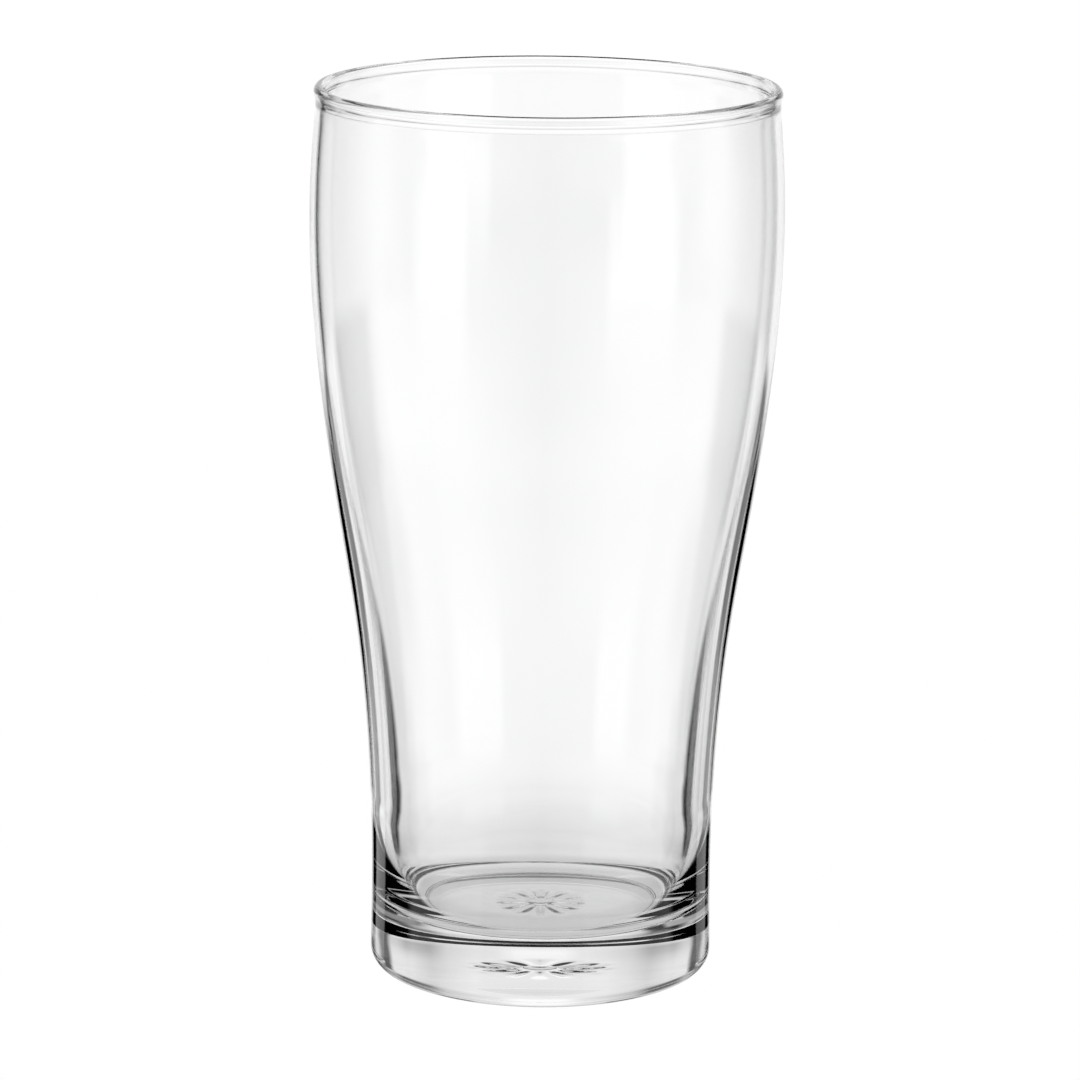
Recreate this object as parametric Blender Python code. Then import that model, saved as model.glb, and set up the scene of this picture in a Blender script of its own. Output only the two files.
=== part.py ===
"""A beer pint glass, as one solid of revolution: a moulded glass body with a beaded rim.

The frame: metres, +Z up, the origin at the middle of the foot, where the glass stands.
The section is drawn once, from the middle of the cavity floor, up the inside, over the
rim, down the outside, round the heel and under the foot to the middle of the underside.
It is then spun about +Z. The only shape that isn't turned is the ribbed rosette that the
mould leaves in the middle of the underside.
"""

import math

import bmesh
import bpy
import numpy as np

# Driving dimensions, in metres
HEIGHT = 0.1615
FOOT_RADIUS = 0.03105  # at the foot, just above the rounded heel
NECK_RADIUS = 0.0412  # just below the rim bead

# The outside between the heel and the bead: (height, radius) where the shape turns
WALL_STATIONS = (
    (0.0035, FOOT_RADIUS),
    (0.0180, 0.0309),
    (0.0400, 0.03155),
    (0.0620, 0.0336),
    (0.0860, 0.03735),
    (0.1080, 0.0404),
    (0.1340, 0.04225),
    (0.1490, 0.0419),
    (0.1580, NECK_RADIUS),
)
# How thick the wall is: (height, thickness), heavy near the foot and thin at the top
THICKNESS_STATIONS = (
    (0.0310, 0.0033),
    (0.0520, 0.0030),
    (0.0740, 0.0024),
    (0.0980, 0.0016),
    (0.1220, 0.00138),
    (0.1580, 0.0013),
)

HEEL_RADIUS = 0.0031
FLOOR_HEIGHT = 0.0118  # the top of the solid glass base
FLOOR_RADIUS = 0.0228  # the flat middle of the cavity floor
CORNER_TOP = 0.0310  # where the cavity wall starts to curve in to the floor
CORNER_POWER = 2.3  # 2 makes that corner a quarter of an ellipse, and more makes it squarer

BEAD_HEIGHT = 0.0024
BEAD_OUT = 0.00035  # how far the bead stands out past the neck
BEAD_IN = 0.0003  # how far it stands in past the inside of the wall

FOOT_RING_INNER = 0.0240  # the flat ring that the glass stands on ends here
EDGE_WIDTH = 0.0020  # the rounded step up from the ring into the recess
EDGE_HEIGHT = 0.0011
DOME_HEIGHT = 0.0004  # how much further the recess is domed up in its middle

ROSETTE_RADIUS = 0.0090
ROSETTE_RELIEF = 0.0003  # how far its ribs stand down from the dome
ROSETTE_RIBS = 12
BUTTON_RADIUS = 0.0024  # a small round button in the middle of the rosette
BUTTON_RELIEF = 0.0004

SEGMENTS = 72
WALL_STEP = 0.0095
ARC_STEPS = 4
CORNER_STEPS = 7
EDGE_STEPS = 3
RECESS_STEPS = 2
ROSETTE_STEPS = 4
BUTTON_STEPS = 2
MERGE = 1e-6


def natural_spline(stations, heights):
    """Radii at the heights on the smooth curve through the stations, straight at its ends."""
    x, y = np.array(stations).T
    gaps = np.diff(x)
    slopes = np.diff(y) / gaps
    size = len(x)
    matrix = np.eye(size)
    right = np.zeros(size)
    for i in range(1, size - 1):
        matrix[i, i - 1 : i + 2] = gaps[i - 1], 2 * (gaps[i - 1] + gaps[i]), gaps[i]
        right[i] = 6 * (slopes[i] - slopes[i - 1])
    bend = np.linalg.solve(matrix, right)
    i = np.clip(np.searchsorted(x, heights) - 1, 0, size - 2)
    up = (heights - x[i]) / gaps[i]
    down = 1 - up
    curved = (down**3 - down) * bend[i] + (up**3 - up) * bend[i + 1]
    return down * y[i] + up * y[i + 1] + curved * gaps[i] ** 2 / 6


def outer_radius(heights):
    return natural_spline(WALL_STATIONS, heights)


def wall_thickness(heights):
    lowest, highest = THICKNESS_STATIONS[0][0], THICKNESS_STATIONS[-1][0]
    return natural_spline(THICKNESS_STATIONS, np.clip(heights, lowest, highest))


def inner_radius(heights):
    return outer_radius(heights) - wall_thickness(heights)


def arc(centre, radii, start, end, steps):
    """Points (radius, height) on part of an ellipse, angles in degrees from outwards."""
    angles = np.radians(np.linspace(start, end, steps + 1))
    return [
        (centre[0] + radii[0] * math.cos(a), centre[1] + radii[1] * math.sin(a))
        for a in angles
    ]


def heights_between(low, high):
    return np.linspace(low, high, round((high - low) / WALL_STEP) + 1)


def cavity_points():
    """The inside: the flat floor, the elliptical corner and the wall up to the bead."""
    reach = float(inner_radius(np.array([CORNER_TOP]))[0]) - FLOOR_RADIUS
    drop = CORNER_TOP - FLOOR_HEIGHT
    corner = []
    for angle in np.radians(np.linspace(90, 0, CORNER_STEPS + 1)):
        out = reach * abs(math.cos(angle)) ** (2 / CORNER_POWER)
        down = drop * math.sin(angle) ** (2 / CORNER_POWER)
        corner.append((FLOOR_RADIUS + out, CORNER_TOP - down))
    heights = heights_between(CORNER_TOP, HEIGHT - BEAD_HEIGHT - 0.001)[1:]
    wall = list(zip(inner_radius(heights), heights))
    return [(0.0, FLOOR_HEIGHT), (FLOOR_RADIUS / 2, FLOOR_HEIGHT)] + corner + wall


def rim_points():
    """The bead: its section is an ellipse, cut where it meets the wall on both sides."""
    neck_in = NECK_RADIUS - THICKNESS_STATIONS[-1][1]
    outermost, innermost = NECK_RADIUS + BEAD_OUT, neck_in - BEAD_IN
    middle = ((outermost + innermost) / 2, HEIGHT - BEAD_HEIGHT / 2)
    radii = ((outermost - innermost) / 2, BEAD_HEIGHT / 2)
    return arc(middle, radii, 225, -45, 3 * ARC_STEPS)


def outside_points():
    """The outside, from under the bead down to the heel, and round the heel."""
    heights = heights_between(WALL_STATIONS[0][0], WALL_STATIONS[-1][0] - 0.0005)[::-1]
    wall = list(zip(outer_radius(heights), heights))
    heel = arc(
        (FOOT_RADIUS - HEEL_RADIUS, HEEL_RADIUS),
        (HEEL_RADIUS, HEEL_RADIUS),
        0,
        -90,
        ARC_STEPS,
    )
    return wall + heel[1:]


def underside_points():
    """The rounded step at the inner edge of the foot ring, and the shallow dome inside it."""
    recess_radius = FOOT_RING_INNER - EDGE_WIDTH
    step = arc((recess_radius, 0.0), (EDGE_WIDTH, EDGE_HEIGHT), 0, 90, EDGE_STEPS)
    radii = np.concatenate((
        np.linspace(recess_radius, ROSETTE_RADIUS, RECESS_STEPS + 1)[1:],
        np.linspace(ROSETTE_RADIUS, BUTTON_RADIUS, ROSETTE_STEPS + 1)[1:],
        np.linspace(BUTTON_RADIUS, 0, BUTTON_STEPS + 1)[1:],
    ))
    domed = EDGE_HEIGHT + DOME_HEIGHT * (1 - (radii / recess_radius) ** 2)
    return step + list(zip(radii, domed))


def rosette_relief(x, y):
    """How far the rosette stands down from the dome at a point on the underside."""
    radius = math.hypot(x, y)
    if radius < BUTTON_RADIUS:
        return BUTTON_RELIEF * (1 - (radius / BUTTON_RADIUS) ** 2)
    if radius > ROSETTE_RADIUS:
        return 0.0
    along = (radius - BUTTON_RADIUS) / (ROSETTE_RADIUS - BUTTON_RADIUS)
    ribs = (1 + math.cos(ROSETTE_RIBS * math.atan2(y, x))) / 2
    return ROSETTE_RELIEF * math.sin(math.pi * along**0.6) * ribs


def spin_section(points):
    """One closed mesh from the section, spun a full turn about +Z."""
    bm = bmesh.new()
    verts = [bm.verts.new((radius, 0.0, height)) for radius, height in points]
    edges = [bm.edges.new(pair) for pair in zip(verts, verts[1:])]
    bmesh.ops.spin(
        bm,
        geom=verts + edges,
        cent=(0, 0, 0),
        axis=(0, 0, 1),
        angle=2 * math.pi,
        steps=SEGMENTS,
    )
    bmesh.ops.remove_doubles(bm, verts=bm.verts, dist=MERGE)
    bmesh.ops.recalc_face_normals(bm, faces=bm.faces)
    return bm


def glass_material():
    material = bpy.data.materials.new("clear_glass")
    material.use_nodes = True
    shader = material.node_tree.nodes["Principled BSDF"]
    shader.inputs["Base Color"].default_value = (0.93, 0.96, 0.95, 1.0)
    shader.inputs["Roughness"].default_value = 0.02
    shader.inputs["Metallic"].default_value = 0.0
    shader.inputs["Transmission Weight"].default_value = 1.0
    shader.inputs["IOR"].default_value = 1.52
    return material


def make_glass_body():
    section = cavity_points() + rim_points() + outside_points() + underside_points()
    bm = spin_section(section)
    for vert in bm.verts:
        if vert.co.z < FLOOR_HEIGHT / 2:
            vert.co.z -= rosette_relief(vert.co.x, vert.co.y)
    mesh = bpy.data.meshes.new("glass_body")
    bm.to_mesh(mesh)
    bm.free()
    mesh.shade_smooth()
    mesh.set_sharp_from_angle(angle=math.radians(40))
    mesh.materials.append(glass_material())
    body = bpy.data.objects.new("glass_body", mesh)
    bpy.context.collection.objects.link(body)


for old in list(bpy.data.objects):
    bpy.data.objects.remove(old)
make_glass_body()
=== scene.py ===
"""A clear tulip pint glass on a pale studio floor, shown by bright-field light.

The glass is one moulded piece. Its section is turned in fine steps from the same driving
dimensions as the CAD part, and the ribbed rosette under the foot is pressed in afterwards.
The light comes from soft panels far away: a tall one behind the glass, others further
round, and dark gaps between them that draw the edges of the glass. The camera itself sees
a plain white backdrop and floor.
"""

import math

import bmesh
import bpy
import numpy as np
from mathutils import Matrix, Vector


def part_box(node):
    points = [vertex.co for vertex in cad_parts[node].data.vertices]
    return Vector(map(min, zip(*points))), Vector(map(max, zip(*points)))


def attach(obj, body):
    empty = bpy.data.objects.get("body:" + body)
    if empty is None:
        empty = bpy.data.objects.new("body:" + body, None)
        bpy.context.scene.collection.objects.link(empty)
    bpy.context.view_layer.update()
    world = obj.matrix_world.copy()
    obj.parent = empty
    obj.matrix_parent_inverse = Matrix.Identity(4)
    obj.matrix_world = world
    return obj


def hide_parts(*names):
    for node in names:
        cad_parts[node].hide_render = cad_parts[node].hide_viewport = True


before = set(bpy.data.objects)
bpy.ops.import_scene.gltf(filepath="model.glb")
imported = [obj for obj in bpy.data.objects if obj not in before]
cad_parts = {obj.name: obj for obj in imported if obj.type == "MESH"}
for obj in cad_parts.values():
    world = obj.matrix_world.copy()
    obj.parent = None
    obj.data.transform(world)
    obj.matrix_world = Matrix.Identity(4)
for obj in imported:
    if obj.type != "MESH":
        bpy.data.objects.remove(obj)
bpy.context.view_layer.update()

# ---- the glass, in metres ----
FOOT_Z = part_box("glass_body")[0].z
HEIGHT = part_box("glass_body")[1].z - FOOT_Z
FOOT_RADIUS = 0.03105  # at the foot, just above the rounded heel
NECK_RADIUS = 0.0412  # just below the rim bead

# The outside between the heel and the bead: (height, radius) where the shape turns
WALL_STATIONS = (
    (0.0035, FOOT_RADIUS),
    (0.0180, 0.0309),
    (0.0400, 0.03155),
    (0.0620, 0.0336),
    (0.0860, 0.03735),
    (0.1080, 0.0404),
    (0.1340, 0.04225),
    (0.1490, 0.0419),
    (0.1580, NECK_RADIUS),
)
# How thick the wall is: (height, thickness)
THICKNESS_STATIONS = (
    (0.0310, 0.0033),
    (0.0520, 0.0030),
    (0.0740, 0.0024),
    (0.0980, 0.0016),
    (0.1220, 0.00138),
    (0.1580, 0.0013),
)

HEEL_RADIUS = 0.0031
FLOOR_HEIGHT = 0.0118  # the top of the solid glass base
FLOOR_RADIUS = 0.0228  # the flat middle of the cavity floor
CORNER_TOP = 0.0310  # where the cavity wall starts to curve in to the floor
CORNER_POWER = 2.3  # 2 makes that corner a quarter of an ellipse, and more makes it squarer

BEAD_HEIGHT = 0.0024
BEAD_OUT = 0.00035  # how far the bead stands out past the neck
BEAD_IN = 0.0003  # how far it stands in past the inside of the wall
INNER_WALL_GAP = 0.0010  # the inside of the wall stops this far under the bead
OUTER_WALL_GAP = 0.0005  # the outside stops this far under the topmost station

FOOT_RING_INNER = 0.0240  # the flat ring that the glass stands on ends here
EDGE_WIDTH = 0.0020  # the rounded step up from the ring into the recess
EDGE_HEIGHT = 0.0011
DOME_HEIGHT = 0.0004  # how much further the recess is domed up in its middle

ROSETTE_RADIUS = 0.0090
ROSETTE_RELIEF = 0.0003  # how far its ribs stand down from the dome
ROSETTE_RIBS = 12
BUTTON_RADIUS = 0.0024  # a small round button in the middle of the rosette
BUTTON_RELIEF = 0.0004

SEGMENTS = 288
WALL_STEP = 0.0015
ARC_STEPS = 12
CORNER_STEPS = 24
EDGE_STEPS = 12
RECESS_STEPS = 10
ROSETTE_STEPS = 18
BUTTON_STEPS = 8
MERGE = 1e-7
SHARP_ANGLE = 40  # degrees

# ---- the finish ----
REFRACTIVE_INDEX = 1.52
WAVE_SCALE = 55.0  # waves per metre
WAVE_DETAIL = 1.0
WAVE_HEIGHT = 0.00002
HAZE_SCALE = 160.0  # patches per metre
HAZE_DETAIL = 4.0
HAZE_FROM, HAZE_TO = 0.55, 0.75  # how much of the noise counts as a hazy patch
HAZE_ROUGHNESS = 0.012  # in the middle of a patch; the rest is perfectly polished
CLEAR_TINT = (0.992, 0.994, 0.994, 1.0)
HAZE_TINT = (0.985, 0.990, 0.989, 1.0)

# ---- the camera ----
CAMERA_DISTANCE = 0.8942  # metres in front of the axis
CAMERA_HEIGHT = 0.2825
CAMERA_PITCH = 12.82  # degrees down
CAMERA_ROLL = 0.56  # degrees
CAMERA_LENS = 169.46  # mm, on a 36 mm sensor
CAMERA_SHIFT = -0.0038

# ---- the light ----
# How bright the studio is: rows of (elevation, levels round the compass), in degrees, with
# azimuth 0 straight behind the glass and 90 to its right. Each level is (azimuth, radiance).
# Behind the glass is the lit backdrop, then on each side a narrow dark gap, a pale panel, a
# wider dark gap low down and a side wall. Two tall soft boxes stand behind the camera, and
# the ceiling is dark.
STUDIO_LIGHT = (
    (-32, ((-180, 1.05), (-120, 1.20), (-94, 1.10), (-80, 0.30), (-54, 0.30), (-49, 1.00),
           (-32, 1.00), (-26, 0.15), (-20, 0.15), (-16, 1.00), (-12, 1.10), (12, 1.10),
           (16, 1.00), (20, 0.15), (26, 0.15), (32, 1.00), (49, 1.00), (54, 0.30), (80, 0.30),
           (94, 1.10), (120, 1.20), (180, 1.05))),
    (-27, ((-180, 0.80), (-120, 1.10), (-82, 1.00), (-72, 0.40), (-54, 0.40), (-49, 1.00),
           (-30, 1.00), (-25, 0.10), (-18, 0.10), (-15, 1.00), (15, 1.00), (18, 0.10),
           (25, 0.15), (31, 1.00), (49, 1.00), (54, 0.40), (72, 0.40), (82, 1.00), (120, 1.10),
           (180, 0.80))),
    (-24, ((-180, 0.50), (-138, 0.95), (-112, 1.10), (-82, 1.10), (-77, 0.02), (-48, 0.00),
           (-46.5, 1.00), (-29, 1.00), (-27.5, 0.00), (-17.5, 0.00), (-16, 0.96), (16, 0.96),
           (17.5, 0.00), (27.5, 0.00), (29, 0.95), (46.5, 0.95), (48, 0.00), (77, 0.02),
           (82, 1.10), (134, 0.95), (180, 0.50))),
    (-15, ((-180, 0.40), (-142, 0.55), (-138, 1.10), (-116, 1.10), (-111, 0.90), (-84, 1.00),
           (-78, 0.02), (-48, 0.00), (-46.5, 0.95), (-29, 0.95), (-27.5, 0.00), (-17.5, 0.00),
           (-16, 0.98), (16, 0.98), (17.5, 0.00), (27.5, 0.00), (29, 0.70), (46.5, 0.80),
           (48, 0.00), (78, 0.02), (84, 0.90), (112, 0.80), (116, 1.10), (148, 1.10),
           (152, 0.55), (180, 0.40))),
    (-13, ((-180, 0.40), (-142, 0.50), (-138, 1.35), (-116, 1.35), (-111, 0.65), (-98, 0.65),
           (-88, 0.90), (-80, 0.90), (-70, 0.65), (-36.5, 0.65), (-34, 0.00), (-27.5, 0.00),
           (-25, 0.98), (-12, 1.01), (12, 1.01), (29, 0.97), (32, 0.55), (34, 0.24),
           (38, 0.45), (70, 0.50), (80, 0.85), (88, 0.85), (98, 0.60), (112, 0.60),
           (116, 1.35), (148, 1.35), (152, 0.50), (180, 0.40))),
    (-6, ((-180, 0.30), (-142, 0.40), (-138, 1.25), (-116, 1.25), (-111, 0.65), (-102, 0.65),
          (-96, 0.95), (-82, 0.95), (-70, 0.60), (-36.5, 0.60), (-34, 0.00), (-27.5, 0.00),
          (-25, 0.95), (-12, 1.01), (12, 1.01), (29, 0.97), (32, 0.55), (34, 0.24), (38, 0.40),
          (70, 0.40), (82, 0.95), (96, 0.95), (102, 0.60), (112, 0.60), (116, 1.25),
          (148, 1.25), (152, 0.40), (180, 0.30))),
    (0, ((-180, 0.25), (-150, 0.70), (-118, 0.80), (-82, 0.95), (-70, 0.60), (-50, 0.60),
         (-46, 0.28), (-41, 0.02), (-30, 0.03), (-26, 0.65), (-12, 1.00), (12, 1.00),
         (26, 0.75), (34, 0.40), (40, 0.20), (46, 0.05), (60, 0.03), (74, 0.10), (82, 0.95),
         (112, 0.80), (130, 0.90), (146, 0.70), (180, 0.25))),
    (9, ((-180, 0.10), (-160, 0.30), (-130, 0.85), (-70, 0.85), (-64, 0.10), (-57, 0.10),
         (-54, 0.45), (-48, 0.45), (-42, 0.08), (-30, 0.15), (-24, 0.50), (-10, 0.80),
         (-5, 1.05), (5, 1.05), (10, 0.80), (24, 0.60), (30, 0.15), (42, 0.08), (48, 0.45),
         (54, 0.45), (57, 0.10), (64, 0.10), (70, 0.85), (130, 0.85), (160, 0.30),
         (180, 0.05))),
    (20, ((-180, 0.05), (-150, 0.60), (-130, 0.90), (-70, 0.90), (-64, 0.15), (-56, 0.15),
          (-52, 0.95), (-44, 0.90), (-30, 0.65), (-16, 0.85), (16, 0.85), (30, 0.65),
          (44, 0.90), (52, 0.95), (56, 0.15), (64, 0.15), (70, 0.90), (130, 0.90), (150, 0.60),
          (180, 0.05))),
    (29, ((-180, 0.05), (-150, 0.60), (-130, 0.90), (-70, 0.90), (-64, 0.15), (-56, 0.15),
          (-52, 0.85), (-16, 0.80), (16, 0.80), (52, 0.85), (56, 0.15), (64, 0.15), (70, 0.90),
          (130, 0.90), (150, 0.60), (180, 0.05))),
    (36, ((-180, 0.10), (-152, 0.90), (-114, 0.90), (-100, 0.20), (-50, 0.16), (-36, 0.02),
          (36, 0.02), (50, 0.16), (100, 0.20), (114, 0.90), (152, 0.90), (180, 0.10))),
    (44, ((-180, 0.05), (-150, 0.60), (-116, 0.60), (-104, 0.05), (104, 0.05), (116, 0.60),
          (150, 0.60), (180, 0.05))),
    (52, ((-180, 0.01), (180, 0.01))),
)
# Painted shade: the floor under the glass glows evenly and dimly, standing in for the glass's
# shadow on it. Round it the floor passes on the studio light of each direction, with painted
# shade darkening it near the glass: (distance from the middle, share of the light)
UNDER_GLASS = 0.0285
UNDER_GLASS_EDGE = 0.03135  # the glow has faded out here
UNDER_GLASS_SHADE_LEVEL = 0.60
FLOOR_SHADE = ((0.000, 0.62), (0.040, 0.62), (0.060, 0.80), (0.100, 0.95), (0.140, 1.00))
FLOOR_SIZE = 0.6  # radius
FLOOR_SEGMENTS = 96
FLOOR_GAP = 0.0001  # how far under the foot it lies


def natural_spline(stations, heights):
    """Radii at the heights on the smooth curve through the stations, straight at its ends."""
    x, y = np.array(stations).T
    gaps = np.diff(x)
    slopes = np.diff(y) / gaps
    size = len(x)
    matrix = np.eye(size)
    right = np.zeros(size)
    for i in range(1, size - 1):
        matrix[i, i - 1 : i + 2] = gaps[i - 1], 2 * (gaps[i - 1] + gaps[i]), gaps[i]
        right[i] = 6 * (slopes[i] - slopes[i - 1])
    bend = np.linalg.solve(matrix, right)
    i = np.clip(np.searchsorted(x, heights) - 1, 0, size - 2)
    up = (heights - x[i]) / gaps[i]
    down = 1 - up
    curved = (down**3 - down) * bend[i] + (up**3 - up) * bend[i + 1]
    return down * y[i] + up * y[i + 1] + curved * gaps[i] ** 2 / 6


def outer_radius(heights):
    return natural_spline(WALL_STATIONS, heights)


def wall_thickness(heights):
    lowest, highest = THICKNESS_STATIONS[0][0], THICKNESS_STATIONS[-1][0]
    return natural_spline(THICKNESS_STATIONS, np.clip(heights, lowest, highest))


def inner_radius(heights):
    return outer_radius(heights) - wall_thickness(heights)


def arc(centre, radii, start, end, steps):
    """Points (radius, height) on part of an ellipse, angles in degrees from outwards."""
    angles = np.radians(np.linspace(start, end, steps + 1))
    return [
        (centre[0] + radii[0] * math.cos(a), centre[1] + radii[1] * math.sin(a))
        for a in angles
    ]


def heights_between(low, high):
    return np.linspace(low, high, round((high - low) / WALL_STEP) + 1)


def cavity_points():
    """The inside: the flat floor, the elliptical corner and the wall up to the bead."""
    reach = float(inner_radius(np.array([CORNER_TOP]))[0]) - FLOOR_RADIUS
    drop = CORNER_TOP - FLOOR_HEIGHT
    corner = []
    for angle in np.radians(np.linspace(90, 0, CORNER_STEPS + 1)):
        out = reach * abs(math.cos(angle)) ** (2 / CORNER_POWER)
        down = drop * math.sin(angle) ** (2 / CORNER_POWER)
        corner.append((FLOOR_RADIUS + out, CORNER_TOP - down))
    heights = heights_between(CORNER_TOP, HEIGHT - BEAD_HEIGHT - INNER_WALL_GAP)[1:]
    wall = list(zip(inner_radius(heights), heights))
    return [(0.0, FLOOR_HEIGHT), (FLOOR_RADIUS / 2, FLOOR_HEIGHT)] + corner + wall


def rim_points():
    """The bead: its section is an ellipse, cut where it meets the wall on both sides."""
    neck_in = NECK_RADIUS - THICKNESS_STATIONS[-1][1]
    outermost, innermost = NECK_RADIUS + BEAD_OUT, neck_in - BEAD_IN
    middle = ((outermost + innermost) / 2, HEIGHT - BEAD_HEIGHT / 2)
    radii = ((outermost - innermost) / 2, BEAD_HEIGHT / 2)
    return arc(middle, radii, 225, -45, 3 * ARC_STEPS)


def outside_points():
    """The outside, from under the bead down to the heel, and round the heel."""
    lowest, highest = WALL_STATIONS[0][0], WALL_STATIONS[-1][0] - OUTER_WALL_GAP
    heights = heights_between(lowest, highest)[::-1]
    wall = list(zip(outer_radius(heights), heights))
    heel = arc(
        (FOOT_RADIUS - HEEL_RADIUS, HEEL_RADIUS),
        (HEEL_RADIUS, HEEL_RADIUS),
        0,
        -90,
        ARC_STEPS,
    )
    return wall + heel[1:]


def underside_points():
    """The rounded step at the inner edge of the foot ring, and the shallow dome inside it."""
    recess_radius = FOOT_RING_INNER - EDGE_WIDTH
    step = arc((recess_radius, 0.0), (EDGE_WIDTH, EDGE_HEIGHT), 0, 90, EDGE_STEPS)
    radii = np.concatenate((
        np.linspace(recess_radius, ROSETTE_RADIUS, RECESS_STEPS + 1)[1:],
        np.linspace(ROSETTE_RADIUS, BUTTON_RADIUS, ROSETTE_STEPS + 1)[1:],
        np.linspace(BUTTON_RADIUS, 0, BUTTON_STEPS + 1)[1:],
    ))
    domed = EDGE_HEIGHT + DOME_HEIGHT * (1 - (radii / recess_radius) ** 2)
    return step + list(zip(radii, domed))


def rosette_relief(x, y):
    """How far the rosette stands down from the dome at a point on the underside."""
    radius = math.hypot(x, y)
    if radius < BUTTON_RADIUS:
        return BUTTON_RELIEF * (1 - (radius / BUTTON_RADIUS) ** 2)
    if radius > ROSETTE_RADIUS:
        return 0.0
    along = (radius - BUTTON_RADIUS) / (ROSETTE_RADIUS - BUTTON_RADIUS)
    ribs = (1 + math.cos(ROSETTE_RIBS * math.atan2(y, x))) / 2
    return ROSETTE_RELIEF * math.sin(math.pi * along**0.6) * ribs


def spin_section(points):
    """One closed mesh from the section, spun a full turn about +Z."""
    bm = bmesh.new()
    verts = [bm.verts.new((radius, 0.0, height)) for radius, height in points]
    edges = [bm.edges.new(pair) for pair in zip(verts, verts[1:])]
    bmesh.ops.spin(
        bm,
        geom=verts + edges,
        cent=(0, 0, 0),
        axis=(0, 0, 1),
        angle=2 * math.pi,
        steps=SEGMENTS,
    )
    bmesh.ops.remove_doubles(bm, verts=bm.verts, dist=MERGE)
    bmesh.ops.recalc_face_normals(bm, faces=bm.faces)
    return bm


class Graph:
    """A node tree with short ways to add maths to it."""

    def __init__(self, tree):
        self.tree = tree
        self.tree.nodes.clear()

    def node(self, kind, **settings):
        made = self.tree.nodes.new(kind)
        for name, value in settings.items():
            setattr(made, name, value)
        return made

    def link(self, value, socket):
        if isinstance(value, bpy.types.NodeSocket):
            self.tree.links.new(value, socket)
        else:
            socket.default_value = value

    def maths(self, operation, *values):
        made = self.node("ShaderNodeMath", operation=operation)
        for value, socket in zip(values, made.inputs):
            self.link(value, socket)
        return made.outputs[0]

    def ramp(self, value, low, high):
        """0 below low and 1 above high, with a smooth step between them."""
        made = self.node("ShaderNodeMapRange", interpolation_type="SMOOTHSTEP")
        self.link(value, made.inputs["Value"])
        made.inputs["From Min"].default_value = low
        made.inputs["From Max"].default_value = high
        return made.outputs["Result"]

    def blend(self, first, second, share):
        made = self.node("ShaderNodeMix", data_type="FLOAT")
        self.link(share, made.inputs["Factor"])
        self.link(first, made.inputs["A"])
        self.link(second, made.inputs["B"])
        return made.outputs["Result"]

    def curve(self, value, stops, low, high):
        """The level at a value from low to high, on straight lines between the stops."""
        place = self.node("ShaderNodeMapRange")
        self.link(value, place.inputs["Value"])
        place.inputs["From Min"].default_value = low
        place.inputs["From Max"].default_value = high
        made = self.node("ShaderNodeValToRGB")
        self.link(place.outputs["Result"], made.inputs["Fac"])
        elements = made.color_ramp.elements
        while len(elements) > 1:
            elements.remove(elements[-1])
        for number, (stop, level) in enumerate(stops):
            at = (stop - low) / (high - low)
            element = elements[0] if number == 0 else elements.new(at)
            element.position = at
            element.color = (level, level, level, 1.0)
        return made.outputs["Color"]


def glass_material():
    """Clear soda-lime glass, with the faint waves and haze that pressing leaves in it."""
    material = bpy.data.materials.new("clear_glass")
    material.use_nodes = True
    g = Graph(material.node_tree)
    place = g.node("ShaderNodeTexCoord").outputs["Object"]
    waves = g.node("ShaderNodeTexNoise")
    g.link(place, waves.inputs["Vector"])
    waves.inputs["Scale"].default_value = WAVE_SCALE
    waves.inputs["Detail"].default_value = WAVE_DETAIL
    bump = g.node("ShaderNodeBump")
    bump.inputs["Strength"].default_value = 1.0
    bump.inputs["Distance"].default_value = WAVE_HEIGHT
    g.link(waves.outputs["Fac"], bump.inputs["Height"])
    haze = g.node("ShaderNodeTexNoise")
    g.link(place, haze.inputs["Vector"])
    haze.inputs["Scale"].default_value = HAZE_SCALE
    haze.inputs["Detail"].default_value = HAZE_DETAIL
    shader = g.node("ShaderNodeBsdfPrincipled")
    patches = g.ramp(haze.outputs["Fac"], HAZE_FROM, HAZE_TO)
    g.link(g.maths("MULTIPLY", patches, HAZE_ROUGHNESS), shader.inputs["Roughness"])
    tint = g.node("ShaderNodeMix", data_type="RGBA")
    g.link(patches, tint.inputs["Factor"])
    colours = [socket for socket in tint.inputs if socket.type == "RGBA"]
    colours[0].default_value = CLEAR_TINT
    colours[1].default_value = HAZE_TINT
    mixed = next(socket for socket in tint.outputs if socket.type == "RGBA")
    g.link(mixed, shader.inputs["Base Color"])
    g.link(bump.outputs["Normal"], shader.inputs["Normal"])
    shader.inputs["Transmission Weight"].default_value = 1.0
    shader.inputs["IOR"].default_value = REFRACTIVE_INDEX
    output = g.node("ShaderNodeOutputMaterial")
    g.link(shader.outputs["BSDF"], output.inputs["Surface"])
    return material


def make_glass():
    section = cavity_points() + rim_points() + outside_points() + underside_points()
    bm = spin_section(section)
    for vert in bm.verts:
        if vert.co.z < FLOOR_HEIGHT / 2:
            vert.co.z -= rosette_relief(vert.co.x, vert.co.y)
        vert.co.z += FOOT_Z
    mesh = bpy.data.meshes.new("pint_glass")
    bm.to_mesh(mesh)
    bm.free()
    mesh.shade_smooth()
    mesh.set_sharp_from_angle(angle=math.radians(SHARP_ANGLE))
    mesh.materials.append(glass_material())
    glass = bpy.data.objects.new("pint_glass", mesh)
    bpy.context.collection.objects.link(glass)
    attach(glass, "root")
    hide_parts("glass_body")


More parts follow.
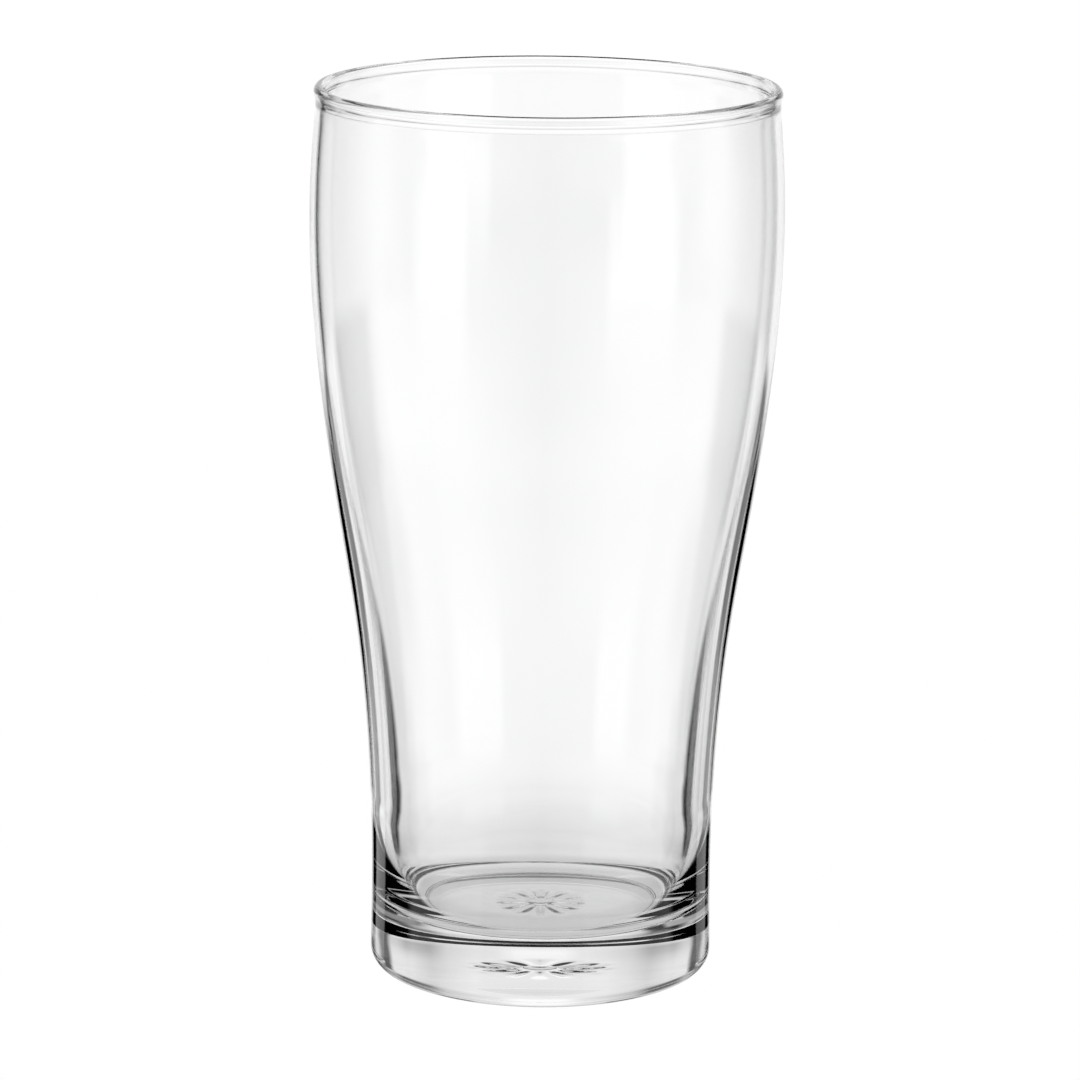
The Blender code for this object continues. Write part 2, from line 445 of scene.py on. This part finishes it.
def make_floor():
    """A plain floor. The camera sees it white, and the glass sees painted shade on it: a dim
    glow under the glass and a darkening round it.
    """
    mesh = bpy.data.meshes.new("studio_floor")
    bm = bmesh.new()
    bmesh.ops.create_circle(bm, cap_ends=True, radius=FLOOR_SIZE, segments=FLOOR_SEGMENTS)
    bm.to_mesh(mesh)
    bm.free()
    floor = bpy.data.objects.new("studio_floor", mesh)
    floor.location.z = FOOT_Z - FLOOR_GAP
    bpy.context.collection.objects.link(floor)
    material = bpy.data.materials.new("studio_floor")
    material.use_nodes = True
    g = Graph(material.node_tree)
    camera = g.node("ShaderNodeLightPath").outputs["Is Camera Ray"]
    place = g.node("ShaderNodeNewGeometry").outputs["Position"]
    apart = g.node("ShaderNodeVectorMath", operation="LENGTH")
    g.link(place, apart.inputs[0])
    apart = apart.outputs["Value"]
    outside = g.ramp(apart, UNDER_GLASS, UNDER_GLASS_EDGE)
    clear = g.maths("MULTIPLY", outside, g.maths("SUBTRACT", 1.0, camera))
    # Painted shade: under the glass the floor glows dimly for the glass's shadow, seen only
    # through the glass; the camera sees it white
    glow = g.node("ShaderNodeEmission")
    g.link(g.maths("MAXIMUM", UNDER_GLASS_SHADE_LEVEL, camera), glow.inputs["Strength"])
    # Painted shade: round the glass the floor darkens the studio light passing through it,
    # most near the foot
    shade = g.node("ShaderNodeBsdfTransparent")
    g.link(g.curve(apart, FLOOR_SHADE, 0.0, FLOOR_SHADE[-1][0]), shade.inputs["Color"])
    mix = g.node("ShaderNodeMixShader")
    g.link(clear, mix.inputs["Fac"])
    g.link(glow.outputs[0], mix.inputs[1])
    g.link(shade.outputs[0], mix.inputs[2])
    output = g.node("ShaderNodeOutputMaterial")
    g.link(mix.outputs[0], output.inputs["Surface"])
    mesh.materials.append(material)


def make_world():
    """The studio light by direction, and a plain white backdrop for the camera."""
    world = bpy.data.worlds.new("studio")
    bpy.context.scene.world = world
    world.use_nodes = True
    g = Graph(world.node_tree)
    direction = g.node("ShaderNodeSeparateXYZ")
    g.link(g.node("ShaderNodeTexCoord").outputs["Generated"], direction.inputs[0])
    x, y, z = direction.outputs
    azimuth = g.maths("DEGREES", g.maths("ARCTAN2", x, y))
    elevation = g.maths("DEGREES", g.maths("ARCSINE", z))
    level = None
    below = None
    for height, levels in STUDIO_LIGHT:
        row = g.curve(azimuth, levels, -180, 180)
        if level is None:
            level = row
        else:
            level = g.blend(level, row, g.ramp(elevation, below, height))
        below = height
    camera = g.node("ShaderNodeLightPath").outputs["Is Camera Ray"]
    background = g.node("ShaderNodeBackground")
    background.inputs["Color"].default_value = (1.0, 1.0, 1.0, 1.0)
    g.link(g.maths("MAXIMUM", level, camera), background.inputs["Strength"])
    output = g.node("ShaderNodeOutputWorld")
    g.link(background.outputs[0], output.inputs["Surface"])


def make_camera():
    camera = bpy.data.objects.new("camera", bpy.data.cameras.new("camera"))
    bpy.context.collection.objects.link(camera)
    camera.data.lens = CAMERA_LENS
    camera.data.shift_x = CAMERA_SHIFT
    camera.matrix_world = (
        Matrix.Translation((0, -CAMERA_DISTANCE, CAMERA_HEIGHT))
        @ Matrix.Rotation(math.radians(90 - CAMERA_PITCH), 4, "X")
        @ Matrix.Rotation(math.radians(CAMERA_ROLL), 4, "Z")
    )
    bpy.context.scene.camera = camera


bpy.context.scene.view_settings.view_transform = "Standard"
make_glass()
make_floor()
make_world()
make_camera()
